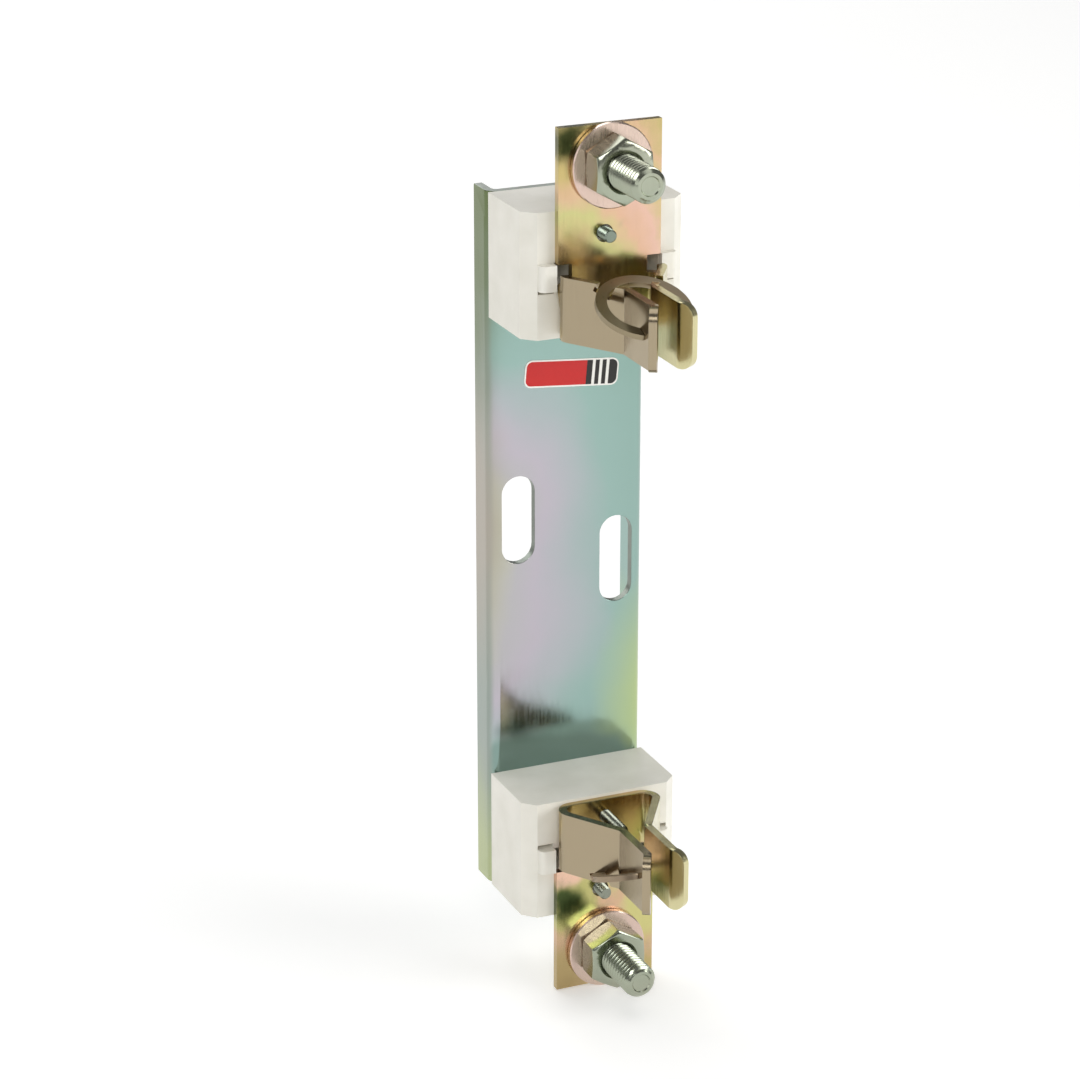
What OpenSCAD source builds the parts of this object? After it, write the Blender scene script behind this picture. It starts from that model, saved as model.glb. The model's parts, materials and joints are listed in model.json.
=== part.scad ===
// Single pole fuse base for blade type fuse links: a bent steel channel, two moulded
// insulators, two lyre contacts with spring rings, terminal bolts and rear screws.
// Origin: centre of the mounting plane, where the channel's rear edges meet the panel.
// The front faces -Y, +Z is up, +X is to the right seen from the front. Millimetres.

/* [Base channel] */
// Length of the channel
base_l = 167; // [160:1:190]
// Width across the channel
base_w = 38.2; // [36:0.1:44]
// Sheet thickness of the channel
base_t = 2; // [1.5:0.1:2.5]
// Depth of the channel, front face to rear edges
base_d = 8.4; // [7.5:0.1:12]
// Inside radius of the channel's two bends
base_bend_r = 0.8; // [0.5:0.1:2]
// Width of a fixing slot
slot_w = 8; // [5:0.1:9]
// Length of a fixing slot, end to end
slot_l = 21; // [16:0.5:26]
// Distance across the channel between the two slots
slot_gap_x = 24.2; // [22:0.1:25]
// Height of the left slot above the right one
slot_step_z = 12.8; // [0:0.1:20]

/* [Insulators] */
// Height of a block along the channel
block_h = 28.4; // [27:0.1:32]
// Depth of a block, channel to front face
block_d = 20.4; // [18:0.1:26]
// Chamfer of the two front corners
block_chamfer = 2.9; // [1:0.1:3.5]
// Small edge break all round the front and the two ends
block_edge = 0.5; // [0.2:0.1:1]
// Height of a locating lug
lug_h = 5.8; // [4:0.1:8]
// Distance that a lug stands proud of the block
lug_out = 2; // [1:0.1:3]
// Distance from the block's outer end to the near side of a lug
lug_from_end = 11.5; // [9:0.1:14]
// Gap between a lug and the edge of the contact
lug_gap = 0.3; // [0.2:0.05:1]
// Radius of a lug's outer front edge
lug_r = 1.5; // [0.5:0.1:1.9]

/* [Contacts] */
// Distance that a terminal plate stands past the channel's end
terminal_out = 18.5; // [17:0.1:28]
// Width of the contact strip
strip_w = 24.2; // [22:0.1:26]
// Sheet thickness of the contact strip
strip_t = 1.8; // [1.5:0.1:2.2]
// Distance of a jaw's middle from the channel's end
jaw_from_end = 20.5; // [19:0.1:21]
// Height of the jaw legs along the channel
leg_h = 14.4; // [13:0.1:16]
// Gap between the jaw legs
jaw_gap = 4.5; // [3.5:0.1:5.5]
// Distance that the pinch fold stands forward of the web
pinch_out = 16.1; // [14:0.1:20]
// Length of the parallel part of the jaws
grip_l = 13.5; // [11:0.1:16]
// Forward reach of the flared tips
flare_l = 3; // [2:0.1:6]
// Angle of the flared tips
flare_angle = 30; // [15:1:45]
// Radius of the rounded corners of the tips
flare_corner_r = 3; // [1:0.1:3.3]
// Width over the rear bends of a jaw
jaw_w = 24.7; // [24:0.1:24.8]
// Centre line radius of the rear bends
rear_bend_r = 3.1; // [2.5:0.1:3.5]
// Centre line radius of the folds at the grip and the tips
fold_r = 1.7; // [1.3:0.1:2.5]
// Height of the relief notches between leg and terminal plate
relief_h = 3.8; // [2:0.1:5]
// Depth of the relief notches from the strip's edge
relief_w = 3.2; // [2:0.1:4]
// Distance that the relief notches reach past the leg's edge
relief_past = 2; // [0.5:0.1:3]

/* [Spring rings] */
// Outside diameter of the flat spring ring
ring_od = 21.1; // [20:0.1:23]
// Width of the ring's flat section
ring_w = 2.5; // [2:0.1:3]
// Thickness of the ring's flat section
ring_t = 1.3; // [0.8:0.1:1.6]
// Tilt of the ring, its open side towards the fuse
ring_tilt = 22; // [15:1:25]
// Forward distance of the ring's centre from the web
ring_out = 18; // [17:0.1:19]
// Distance of the ring's centre below the leg's terminal side edge
ring_drop = 3.6; // [3:0.1:5]
// Clearance of the ring in its notches
ring_gap = 0.2; // [0.1:0.05:0.3]
// Clearance between the ring's ends and the jaw legs
ring_end_gap = 0.05; // [0.02:0.01:0.1]

/* [Terminals] */
// Thread diameter of a terminal bolt
bolt_dia = 8; // [6:1:10]
// Distance of a terminal bolt from the end of its plate
bolt_from_end = 9; // [8.5:0.1:11]
// Length of a terminal bolt under its head
bolt_l = 22.2; // [20:0.1:35]
// Size across the flats of nut and bolt head
hex_af = 13; // [12:0.5:15]
// Height of a nut
nut_h = 6.5; // [5:0.1:8.5]
// Height of a bolt head
head_h = 5.3; // [4:0.1:7]
// Outside diameter of a flat washer
washer_od = 18.8; // [17:0.1:20]
// Thickness of a flat washer
washer_t = 1.6; // [1:0.1:2.5]
// Radial clearance of the bolt in the terminal plate
bolt_hole_gap = 0.5; // [0.2:0.1:0.6]
// Radial clearance of the washer on the bolt
washer_gap = 0.2; // [0.1:0.05:0.4]
// Radial running clearance of the nut on the bolt
nut_gap = 0.05; // [0.02:0.01:0.1]

/* [Rear screws] */
// Thread diameter of the rear screws
screw_dia = 3; // [2.5:0.1:3.5]
// Distance of the contact screw from the leg's fuse side edge
contact_screw_in = 4; // [3.5:0.1:6]
// Length of the contact screw's end inside the jaws
contact_screw_proud = 9.5; // [3:0.5:12]
// Distance of the block screw from the terminal plate's inner edge
block_screw_in = 6; // [4.5:0.1:8]
// Distance of the block screws from the middle of the base, to the right
block_screw_x = -1.2; // [-2:0.1:2]
// Length of the block screw's end in front of the terminal plate
block_screw_proud = 3.2; // [0.5:0.1:4]
// Diameter of the hole round the block screw's end
block_screw_hole = 4; // [3.8:0.1:5]
// Diameter of a screw head
screw_head_dia = 5.6; // [5:0.1:6.5]
// Height of a screw head
screw_head_h = 2.2; // [1.5:0.1:2.6]
// Thickness of a spring washer
lock_t = 0.8; // [0.5:0.1:1.2]
// Radial clearance of a screw in the channel and the block
screw_gap = 0.15; // [0.1:0.05:0.4]
// Radial clearance of a screw in the contact's tapped hole
tapped_gap = 0.03; // [0.01:0.01:0.1]

/* [Label] */
// Width of the stuck label
label_w = 23; // [15:0.5:28]
// Height of the stuck label
label_h = 6.4; // [4:0.1:9]
// Thickness of the stuck label
label_t = 0.15; // [0.1:0.01:0.3]
// Corner radius of the label
label_r = 1.7; // [0.5:0.1:1.9]
// Offset of the label to the right of the middle
label_x = 0.9; // [0:0.1:3]
// Height of the label above the middle of the channel
label_z = 39.8; // [35:0.1:45]
// Angle at which the label is stuck on
label_angle = 5; // [0:0.5:8]

/* [Hidden] */

// Depths, front of the channel first: all lie at negative Y
front_y = -base_d;
seat_y = front_y - block_d;
web_y = seat_y - strip_t;
// Heights of the upper half
plate_z1 = base_l / 2 + terminal_out;
jaw_z = base_l / 2 - jaw_from_end;
leg_z0 = jaw_z - leg_h / 2;
leg_z1 = jaw_z + leg_h / 2;
relief_z0 = leg_z1 - relief_past;
relief_z1 = relief_z0 + relief_h;
bolt_z = plate_z1 - bolt_from_end;
contact_screw_z = leg_z0 + contact_screw_in;
block_screw_z = relief_z1 + block_screw_in;
block_z0 = base_l / 2 - block_h;
lug_z1 = base_l / 2 - lug_from_end;
bolt_r = bolt_dia / 2;
screw_r = screw_dia / 2;
grip_x = jaw_gap / 2 + strip_t / 2;
tip_x = grip_x + flare_l * tan(flare_angle);
grip_out = pinch_out + grip_l;
tip_out = grip_out + flare_l;
// From the pinch fold to the centre of the rear bend, sideways and backward
to_bend = [jaw_w / 2 - strip_t / 2 - rear_bend_r - grip_x, strip_t / 2 - rear_bend_r + pinch_out];
leg_angle = atan2(to_bend[0], to_bend[1]) + asin(rear_bend_r / norm(to_bend));
// Slope of the converging part of a leg, sideways per forward millimetre
leg_slope = tan(leg_angle);
// Where the centre lines of the web and of a converging leg would meet
edge_x = grip_x + leg_slope * (pinch_out + strip_t / 2);
leg_face = strip_t / 2 * sqrt(1 + leg_slope * leg_slope);
ring_ro = ring_od / 2;
ring_ri = ring_ro - ring_w;
// Overshoot of cuts past the faces that they open
cut = 1;
bend_steps = 6;
$fn = 64;

// Flat strips that are bent: a path of [point, direction] pairs with round bends, whose radii are
// one number or a list
function unit(v) = v / norm(v);
function turned(v, a) = [v[0] * cos(a) - v[1] * sin(a), v[0] * sin(a) + v[1] * cos(a)];
function angle_between(u, v) = atan2(u[0] * v[1] - u[1] * v[0], u * v);
function bend(before, corner, after, r) =
    let (
        u = unit(corner - before),
        a = angle_between(u, unit(after - corner)),
        side = sign(a),
        start = corner - r * tan(abs(a) / 2) * u,
        centre = start + side * r * turned(u, 90)
    )
    [for (k = [0:bend_steps])
        let (d = turned(u, a * k / bend_steps)) [centre - side * r * turned(d, 90), d]];
function bent_path(points, r) =
    let (last = len(points) - 1)
    concat(
        [[points[0], unit(points[1] - points[0])]],
        [for (i = [1:last - 1])
            each bend(points[i - 1], points[i], points[i + 1], is_list(r) ? r[i - 1] : r)],
        [[points[last], unit(points[last] - points[last - 1])]]
    );
function strip_outline(path, t) =
    concat(
        [for (s = path) s[0] + t / 2 * turned(s[1], 90)],
        [for (i = [len(path) - 1:-1:0]) path[i][0] - t / 2 * turned(path[i][1], 90)]
    );

// Where a circle of the ring crosses a face of a converging leg, measured back from
// the ring's centre in the ring's own plane
function ring_crossing(r, face) =
    let (
        a = grip_x + face + leg_slope * (pinch_out - ring_out),
        b = leg_slope * cos(ring_tilt),
        q = 1 + b * b
    )
    (-a * b + sqrt(a * a * b * b - q * (a * a - r * r))) / q;

// Bores along Y, from the front face y0 back to y1
module bore_y(r, x, z, y0, y1) {
    translate([x, y1, z]) rotate([90, 0, 0]) cylinder(r = r, h = y1 - y0);
}

module half_turn() {
    rotate([0, 180, 0]) children();
}

module base_channel() {
    half_w = base_w / 2 - base_t / 2;
    rear = bent_path(
        [[-half_w, 0], [-half_w, front_y + base_t / 2], [half_w, front_y + base_t / 2], [half_w, 0]],
        base_bend_r + base_t / 2
    );
    color("lightsteelblue")
    difference() {
        translate([0, 0, -base_l / 2])
            linear_extrude(base_l) polygon(strip_outline(rear, base_t));
        for (side = [-1, 1]) {
            fixing_slot(side * slot_gap_x / 2, -side * slot_step_z / 2);
            for (place = [[0, contact_screw_z], [block_screw_x, block_screw_z]])
                bore_y(screw_r + screw_gap, place[0], side * place[1], front_y - cut, front_y + base_t + cut);
        }
    }
}

module fixing_slot(x, z) {
    straight = slot_l - slot_w;
    translate([x - slot_w / 2, front_y - cut, z - straight / 2])
        cube([slot_w, base_t + 2 * cut, straight]);
    for (end = [-1, 1])
        bore_y(slot_w / 2, x, z + end * straight / 2, front_y - cut, front_y + base_t + cut);
}

// One moulded block in the upper place: chamfered front corners and two locating lugs.
// The side is 1 for the block that stays there and -1 for the one that is turned down
module insulator(side) {
    half_w = base_w / 2;
    plan = [
        [-half_w, front_y], [half_w, front_y],
        [half_w, seat_y + block_chamfer], [half_w - block_chamfer, seat_y],
        [-half_w + block_chamfer, seat_y], [-half_w, seat_y + block_chamfer]
    ];
    profile = [
        [front_y, block_z0], [front_y, base_l / 2],
        [seat_y + block_edge, base_l / 2], [seat_y, base_l / 2 - block_edge],
        [seat_y, block_z0 + block_edge], [seat_y + block_edge, block_z0]
    ];
    difference() {
        union() {
            intersection() {
                translate([0, 0, block_z0]) linear_extrude(block_h) polygon(plan);
                translate([half_w, 0, 0]) rotate([90, 0, -90])
                    linear_extrude(base_w) polygon([for (p = profile) [-p[0], p[1]]]);
            }
            for (s = [-1, 1]) lug(s);
        }
        for (place = [[0, contact_screw_z], [side * block_screw_x, block_screw_z]])
            bore_y(screw_r + screw_gap, place[0], place[1], seat_y - cut, front_y + cut);
    }
}

module lug(side) {
    inner = strip_w / 2 + lug_gap;
    outer = base_w / 2 - block_chamfer;
    rounded = [for (k = [0:bend_steps])
        let (a = 90 * k / bend_steps)
        [outer - lug_r + lug_r * sin(a), seat_y - lug_out + lug_r - lug_r * cos(a)]];
    profile = concat([[inner, seat_y + cut], [inner, seat_y - lug_out]], rounded, [[outer, seat_y + cut]]);
    translate([0, 0, lug_z1 - lug_h])
        linear_extrude(lug_h) polygon([for (p = profile) [side * p[0], p[1]]]);
}

// One contact in the upper place, bent from one strip
module contact(side) {
    half = [[edge_x, strip_t / 2], [grip_x, -pinch_out], [grip_x, -grip_out], [tip_x, -tip_out]];
    lyre = bent_path(
        concat([for (i = [3:-1:0]) [-half[i][0], half[i][1]]], half),
        [fold_r, fold_r, rear_bend_r, rear_bend_r, fold_r, fold_r]
    );
    relief_x = strip_w / 2 - relief_w;
    relief_reach = jaw_w / 2 + cut - relief_x;
    translate([0, web_y, 0])
    difference() {
        union() {
            translate([0, 0, leg_z0]) linear_extrude(leg_h) polygon(strip_outline(lyre, strip_t));
            translate([-strip_w / 2 + relief_w, 0, leg_z1 - cut])
                cube([strip_w - 2 * relief_w, strip_t, relief_z1 - leg_z1 + 2 * cut]);
            translate([-strip_w / 2, 0, relief_z1])
                cube([strip_w, strip_t, plate_z1 - relief_z1]);
        }
        for (s = [-1, 1])
            translate([s * (relief_x + relief_reach / 2), strip_t / 2, (relief_z0 + relief_z1) / 2])
                cube([relief_reach, strip_t + cut, relief_h], center = true);
        tip_corners();
        ring_notch();
        bore_y(bolt_r + bolt_hole_gap, 0, bolt_z, -cut, strip_t + cut);
        bore_y(block_screw_hole / 2, side * block_screw_x, block_screw_z, -cut, strip_t + cut);
        bore_y(screw_r + tapped_gap, 0, contact_screw_z, -cut, strip_t + cut);
    }
}

// What the rounded corners leave off the flared tips
module tip_corners() {
    reach = tip_out + strip_t;
    wide = 2 * (tip_x + strip_t);
    for (end = [-1, 1])
        translate([-wide / 2, -tip_out + flare_corner_r, jaw_z + end * (leg_h / 2 - flare_corner_r)])
            difference() {
                translate([0, -flare_corner_r - strip_t, end > 0 ? 0 : -flare_corner_r - cut])
                    cube([wide, flare_corner_r + strip_t, flare_corner_r + cut]);
                rotate([0, 90, 0])
                    translate([0, 0, -cut]) cylinder(r = flare_corner_r, h = wide + 2 * cut);
            }
}

// Slots in the legs' terminal side edge where the ring passes through
module ring_notch() {
    near = ring_crossing(ring_ri, leg_face) - ring_gap;
    far = ring_crossing(ring_ro, -leg_face) + ring_gap;
    translate([0, -ring_out, leg_z1 - ring_drop])
        rotate([ring_tilt, 0, 0])
            translate([-jaw_w / 2, near, -ring_t - ring_gap])
                cube([jaw_w, far - near, ring_t + ring_drop + ring_gap]);
}

// Flat spring ring, open at the front, in the upper place
module spring_ring() {
    open_x = jaw_gap / 2 + strip_t + ring_end_gap;
    translate([0, web_y - ring_out, leg_z1 - ring_drop])
    difference() {
        rotate([ring_tilt, 0, 0])
            rotate_extrude() translate([ring_ri, -ring_t]) square([ring_w, ring_t]);
        translate([-open_x, -ring_od, -ring_od])
            cube([2 * open_x, ring_od, 2 * ring_od]);
    }
}

// A hexagon with chamfered corners along Y, its corners up and down
module hex_blank(h, both_ends) {
    corner_r = hex_af / sqrt(3);
    rim_r = hex_af / 2 * 0.95;
    rise = (corner_r - rim_r) * tan(30);
    rotate([90, 0, 0])
    intersection() {
        rotate([0, 0, 30]) cylinder(r = corner_r, h = h, $fn = 6);
        rotate_extrude()
            polygon([
                [0, 0], [both_ends ? rim_r : corner_r, 0], [corner_r, both_ends ? rise : 0],
                [corner_r, h - rise], [rim_r, h], [0, h]
            ]);
    }
}

module terminal_bolt() {
    end_chamfer = bolt_dia / 10;
    translate([0, web_y + strip_t, bolt_z]) {
        rotate([180, 0, 0]) hex_blank(head_h, false);
        rotate([90, 0, 0]) {
            cylinder(r = bolt_r, h = bolt_l - end_chamfer);
            translate([0, 0, bolt_l - end_chamfer])
                cylinder(r1 = bolt_r, r2 = bolt_r - end_chamfer, h = end_chamfer);
        }
    }
}

module flat_washer() {
    edge = washer_t / 8;
    inner = bolt_r + washer_gap;
    translate([0, web_y, bolt_z]) rotate([90, 0, 0])
        rotate_extrude()
            polygon([
                [inner, 0], [washer_od / 2 - edge, 0], [washer_od / 2, edge],
                [washer_od / 2, washer_t - edge], [washer_od / 2 - edge, washer_t], [inner, washer_t]
            ]);
}

module terminal_nut() {
    countersink = bolt_dia / 16;
    inner = bolt_r + nut_gap;
    translate([0, web_y - washer_t, bolt_z])
    difference() {
        hex_blank(nut_h, true);
        bore_y(inner, 0, 0, -nut_h - cut, cut);
        translate([0, -nut_h, 0]) rotate([-90, 0, 0])
            cylinder(r1 = inner + countersink, r2 = inner, h = countersink);
    }
}

// Pan head screw from behind the channel, its end at the depth tip_y
module rear_screw(x, z, tip_y) {
    seat = front_y + base_t + lock_t;
    end_chamfer = screw_dia / 10;
    dome = screw_head_h / 4;
    translate([x, seat, z]) rotate([90, 0, 0])
        rotate_extrude()
            polygon([
                [0, -screw_head_h], [screw_head_dia / 2 - dome, -screw_head_h],
                [screw_head_dia / 2, -screw_head_h + dome], [screw_head_dia / 2, 0], [screw_r, 0],
                [screw_r, seat - tip_y - end_chamfer], [screw_r - end_chamfer, seat - tip_y],
                [0, seat - tip_y]
            ]);
}

module contact_screw() {
    rear_screw(0, contact_screw_z, web_y - contact_screw_proud);
}

module block_screw(side) {
    rear_screw(side * block_screw_x, block_screw_z, web_y - block_screw_proud);
}

// Split spring washer under a screw head
module lock_washer(x, z) {
    split_w = lock_t / 2;
    translate([x, front_y + base_t + lock_t, z]) rotate([90, 0, 0])
        difference() {
            rotate_extrude()
                translate([screw_r + screw_gap, 0])
                    square([screw_head_dia / 2 - screw_r, lock_t]);
            translate([0, -split_w / 2, -cut])
                rotate([0, 0, 12]) cube([screw_head_dia, split_w, lock_t + 2 * cut]);
        }
}

module front_label() {
    flat_w = label_w - 2 * label_r;
    flat_h = label_h - 2 * label_r;
    color("firebrick")
    translate([label_x, front_y, label_z]) rotate([90, label_angle, 0])
        linear_extrude(label_t) {
            square([flat_w, label_h], center = true);
            square([label_w, flat_h], center = true);
            for (x = [-1, 1], y = [-1, 1])
                translate([x * flat_w / 2, y * flat_h / 2]) circle(r = label_r);
        }
}

module upper_insulator() { color("ivory") insulator(1); }
module lower_insulator() { color("ivory") half_turn() insulator(-1); }
module upper_contact() { color("khaki") contact(1); }
module lower_contact() { color("khaki") half_turn() contact(-1); }
module upper_spring_ring() { color("rosybrown") spring_ring(); }
module lower_spring_ring() { color("rosybrown") half_turn() spring_ring(); }
module upper_terminal_bolt() { color("darkseagreen") terminal_bolt(); }
module lower_terminal_bolt() { color("darkseagreen") half_turn() terminal_bolt(); }
module upper_flat_washer() { color("pink") flat_washer(); }
module lower_flat_washer() { color("pink") half_turn() flat_washer(); }
module upper_terminal_nut() { color("silver") terminal_nut(); }
module lower_terminal_nut() { color("silver") half_turn() terminal_nut(); }
module upper_contact_screw() { color("silver") contact_screw(); }
module lower_contact_screw() { color("silver") half_turn() contact_screw(); }
module upper_block_screw() { color("silver") block_screw(1); }
module lower_block_screw() { color("silver") half_turn() block_screw(-1); }
module upper_contact_screw_washer() { color("gray") lock_washer(0, contact_screw_z); }
module lower_contact_screw_washer() { color("gray") half_turn() lock_washer(0, contact_screw_z); }
module upper_block_screw_washer() { color("gray") lock_washer(block_screw_x, block_screw_z); }
module lower_block_screw_washer() { color("gray") half_turn() lock_washer(-block_screw_x, block_screw_z); }

base_channel();
upper_insulator();
lower_insulator();
upper_contact();
lower_contact();
upper_spring_ring();
lower_spring_ring();
upper_terminal_bolt();
lower_terminal_bolt();
upper_flat_washer();
lower_flat_washer();
upper_terminal_nut();
lower_terminal_nut();
upper_contact_screw();
lower_contact_screw();
upper_block_screw();
lower_block_screw();
upper_contact_screw_washer();
lower_contact_screw_washer();
upper_block_screw_washer();
lower_block_screw_washer();
front_label();
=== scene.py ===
"""The looks of a single pole fuse base: bent steel channel, two moulded insulators, two lyre
contacts with spring rings, terminal bolts with nuts and washers, and the rear screws.

Pieces are modelled in millimetres in the upper place, in the CAD model's frame, and a lower piece
is its upper twin after half a turn about Y. The front of the base faces -Y.
"""

import json
import math

import bmesh
import bpy
from mathutils import Matrix, Vector

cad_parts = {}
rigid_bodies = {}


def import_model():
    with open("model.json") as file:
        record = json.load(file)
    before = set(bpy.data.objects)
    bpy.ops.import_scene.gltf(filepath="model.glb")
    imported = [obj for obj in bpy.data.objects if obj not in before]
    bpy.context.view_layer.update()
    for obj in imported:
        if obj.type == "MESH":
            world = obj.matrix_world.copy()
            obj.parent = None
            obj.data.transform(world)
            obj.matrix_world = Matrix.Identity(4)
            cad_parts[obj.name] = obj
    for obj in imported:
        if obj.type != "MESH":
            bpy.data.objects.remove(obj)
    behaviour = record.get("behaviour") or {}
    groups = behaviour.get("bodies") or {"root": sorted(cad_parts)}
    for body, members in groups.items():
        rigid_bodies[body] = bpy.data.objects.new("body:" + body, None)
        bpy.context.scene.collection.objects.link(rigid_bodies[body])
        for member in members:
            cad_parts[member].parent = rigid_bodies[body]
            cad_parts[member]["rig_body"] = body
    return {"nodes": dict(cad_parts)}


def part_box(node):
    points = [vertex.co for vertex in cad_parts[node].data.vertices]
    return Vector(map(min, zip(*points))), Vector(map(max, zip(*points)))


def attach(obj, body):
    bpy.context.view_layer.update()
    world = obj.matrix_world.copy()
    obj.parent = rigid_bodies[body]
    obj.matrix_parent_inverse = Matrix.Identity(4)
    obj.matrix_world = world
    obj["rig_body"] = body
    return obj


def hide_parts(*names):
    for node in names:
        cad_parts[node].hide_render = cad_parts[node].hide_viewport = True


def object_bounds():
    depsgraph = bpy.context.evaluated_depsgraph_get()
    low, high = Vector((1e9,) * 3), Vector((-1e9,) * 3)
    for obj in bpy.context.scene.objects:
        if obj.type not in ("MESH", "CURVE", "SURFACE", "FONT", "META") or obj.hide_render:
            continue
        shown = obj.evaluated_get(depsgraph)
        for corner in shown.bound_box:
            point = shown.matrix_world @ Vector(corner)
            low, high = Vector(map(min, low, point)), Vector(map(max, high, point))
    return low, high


MM = 0.001
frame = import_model()
cad_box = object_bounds()


def box_mm(name):
    """Lowest and highest corner of a CAD node, in millimetres."""
    low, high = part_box(name)
    return low / MM, high / MM


# Base channel
CHANNEL_LOW, CHANNEL_HIGH = box_mm("base_channel")
CHANNEL_T = 2.0
CHANNEL_FRONT = CHANNEL_LOW.y
CHANNEL_BEND_R = 1.8
SLOT_W = 8.0
SLOT_L = 21.0
SLOT_X = 12.1
SLOT_Z = 6.4

# Insulators
BLOCK_LOW, BLOCK_HIGH = box_mm("upper_insulator")
LUG_OUT = 2.0
SEAT = BLOCK_LOW.y + LUG_OUT
BLOCK_CHAMFER = 2.9
LUG_INNER = 12.4
LUG_LOW, LUG_HIGH = 66.2, 72.0
LUG_R = 1.5
LUG_OUTER = BLOCK_HIGH.x - BLOCK_CHAMFER - 0.05
# Recesses in the block's front, which stand dark beside each lug in the photo: a pocket behind the
# contact's relief notch and a groove along the lug. Each has its distances from the middle, its
# heights and its depth
POCKET = ((8.2, 12.35), (66.6, 72.2), 9.0)
GROOVE = ((12.35, 16.1), (65.3, 66.2), 1.8)
# Share of the usual broken edge that the small edges round the recesses get
FINE_EDGE = 0.2

# Contacts, bent from one strip
CONTACT_LOW, CONTACT_HIGH = box_mm("upper_contact")
STRIP_T = 1.8
REAR_R = 3.1
FOLD_R = 1.7
WEB = SEAT - STRIP_T
STRIP_HALF = 12.1
GRIP_X = 3.15
PINCH_OUT = 16.1
GRIP_OUT = 29.6
FLARE_OUT = 32.6
TIP_X = GRIP_X + (FLARE_OUT - GRIP_OUT) * math.tan(math.radians(30))
TIP_R = 3.0
LEG_LOW = CONTACT_LOW.z
LEG_HIGH = LEG_LOW + 14.4
NECK_HALF = 8.9
RELIEF_LOW, RELIEF_HIGH = LEG_HIGH - 2.0, LEG_HIGH + 1.8
RELIEF_REACH = 3.6
# The converging part of a leg runs from the rear bend, round its circle, to the pinch fold
TO_BEND = Vector((CONTACT_HIGH.x - STRIP_T / 2 - REAR_R - GRIP_X, STRIP_T / 2 - REAR_R + PINCH_OUT))
LEG_SLOPE = math.tan(math.atan2(TO_BEND.x, TO_BEND.y) + math.asin(REAR_R / TO_BEND.length))
LEG_FACE = STRIP_T / 2 * math.sqrt(1 + LEG_SLOPE**2)

# Spring rings
RING_R = 10.55
RING_W = 2.5
RING_T = 1.3
RING_TILT = math.radians(22)
RING_OUT = 18.0
RING_CENTRE = Vector((0, WEB - RING_OUT, LEG_HIGH - 3.6))
RING_END_X = GRIP_X + STRIP_T / 2 + 0.05
NOTCH_GAP = 0.2

# Terminals
BOLT_Z = (box_mm("upper_flat_washer")[0].z + box_mm("upper_flat_washer")[1].z) / 2
BOLT_R = 4.0
BOLT_PITCH = 1.25
BOLT_HEAD_H = 5.3
BOLT_END = box_mm("upper_terminal_bolt")[0].y
HEX_AF = 13.0
NUT_H = 6.5
NUT_SINK = 0.6
THREAD_PLAY = 0.05
WASHER_R = 9.4
WASHER_T = 1.6
WASHER_HOLE_R = BOLT_R + 0.2
WASHER_EDGE = 0.25
BOLT_HOLE_R = BOLT_R + 0.5
BOLT_POINT = 1.1
DISH_R = 2.25
DISH_BOTTOM_R = 2.0
DISH_DEEP = 0.3

# Screws from behind
SCREW_R = 1.5
SCREW_PITCH = 0.5
CONTACT_SCREW_Z = 59.8
BLOCK_SCREW_X = -1.2
BLOCK_SCREW_Z = 78.0
BLOCK_SCREW_HOLE_R = 2.0
# Play of a screw in the channel and in its washer, and of its thread in the contact
SCREW_CLEARANCE = 0.15
SCREW_FIT = 0.03
SCREW_CORE_R = SCREW_R - 0.3
SCREW_POINT = 0.3
# How far the screws stand out of the web, and how far inside a surface their thread begins
CONTACT_SCREW_OUT = 9.5
BLOCK_SCREW_OUT = 3.2
THREAD_HIDDEN = 1.0
SCREW_HEAD_R = 2.8
SCREW_HEAD_H = 2.2
SCREW_HEAD_SIDE_H = 1.3
# The rounded top of the head as (share of the radius, distance below the top)
SCREW_HEAD_TOP = ((0.82, 0.25), (0.5, 0), (0, 0))
CROSS_W = 3.0
CROSS_BOTTOM_SHARE = 0.45
CROSS_DEEP = 1.3
CROSS_T = 0.55
LOCK_T = 0.8
LOCK_SPLIT = 0.4
LOCK_TURN = math.radians(-12)

# Label
LABEL_W = 23.0
LABEL_H = 6.4
LABEL_CORNER = 1.7
LABEL_EDGE_W = 0.35
LABEL_TURN = math.radians(5)
LABEL_BLACK_FROM = 3.6
LABEL_BARS = ((5.0, 5.7), (6.7, 7.4), (8.4, 9.1))

# Tolerances for points that become one, for points on a cutting plane, and for places that are
# the same
SAME_POINT = 0.0005
ON_PLANE = 0.0001
SAME_PLACE = 0.01

BACKWARD = Vector((0, 1, 0))
FORWARD = Vector((0, -1, 0))
HALF_TURN = Matrix.Rotation(math.pi, 3, "Y")
QUARTER = math.radians(90)


def arc(centre, radius, start, end, steps):
    """Points on a round stretch of an outline, from one angle to another in degrees."""
    angles = [math.radians(start + (end - start) * k / steps) for k in range(steps + 1)]
    return [(centre[0] + radius * math.cos(a), centre[1] + radius * math.sin(a)) for a in angles]


def circle(centre, radius, steps=32):
    """Points round a whole circle, each once."""
    return arc(centre, radius, 0, 360, steps)[:-1]


# Materials


def linear(hex_colour):
    """The linear colour of an sRGB hex value."""
    values = [int(hex_colour[i : i + 2], 16) / 255 for i in (1, 3, 5)]
    return [v / 12.92 if v <= 0.04045 else ((v + 0.055) / 1.055) ** 2.4 for v in values] + [1.0]


def per_mm(size):
    """Scale of a pattern whose features are that many millimetres wide."""
    return 1 / (size * MM)


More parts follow.
